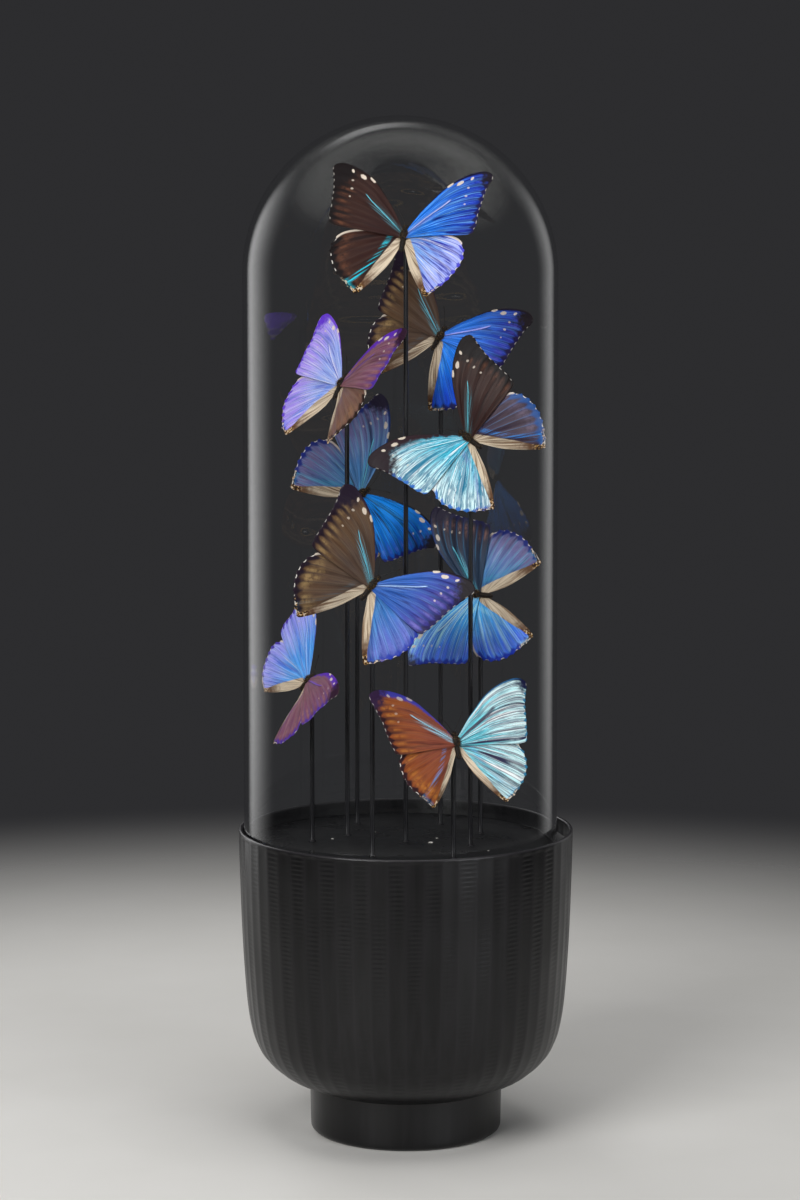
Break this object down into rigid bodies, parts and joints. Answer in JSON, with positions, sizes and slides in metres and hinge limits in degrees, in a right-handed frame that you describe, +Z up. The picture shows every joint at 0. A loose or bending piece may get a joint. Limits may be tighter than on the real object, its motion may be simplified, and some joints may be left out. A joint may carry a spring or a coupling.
{
  "type": "insect in glass dome",
  "caption": "Tall glass dome on a black carved wooden bowl, over spread blue butterflies held one above another on thin upright rods.",
  "frame": {"origin": "middle of the foot's underside, on the surface that the bowl stands on", "axes": "+Z up, -Y the front, from which the specimens' upper sides are seen, +X to the viewer's right"},
  "size_m": [0.2136, 0.2136, 0.648],
  "materials": {
    "black_wood": "black stained and waxed, carved in upright flats with fine tool marks",
    "black_board": "black lacquered, satin",
    "clear_glass": "clear blown glass",
    "black_metal": "black, satin",
    "blue_wing": "dried wing scales, shimmering blue on brown, cream edges"
  },
  "bodies": {
    "root": {"carved_bowl": "black_wood", "display_disc": "black_board", "glass_dome": "clear_glass", "rod_1": "black_metal", "rod_2": "black_metal", "rod_3": "black_metal", "rod_4": "black_metal", "rod_5": "black_metal", "rod_6": "black_metal", "rod_7": "black_metal", "rod_8": "black_metal", "rod_9": "black_metal", "butterfly_1": "blue_wing", "butterfly_2": "blue_wing", "butterfly_3": "blue_wing", "butterfly_4": "blue_wing", "butterfly_5": "blue_wing", "butterfly_6": "blue_wing", "butterfly_7": "blue_wing", "butterfly_8": "blue_wing", "butterfly_9": "blue_wing"}
  },
  "joints": []
}
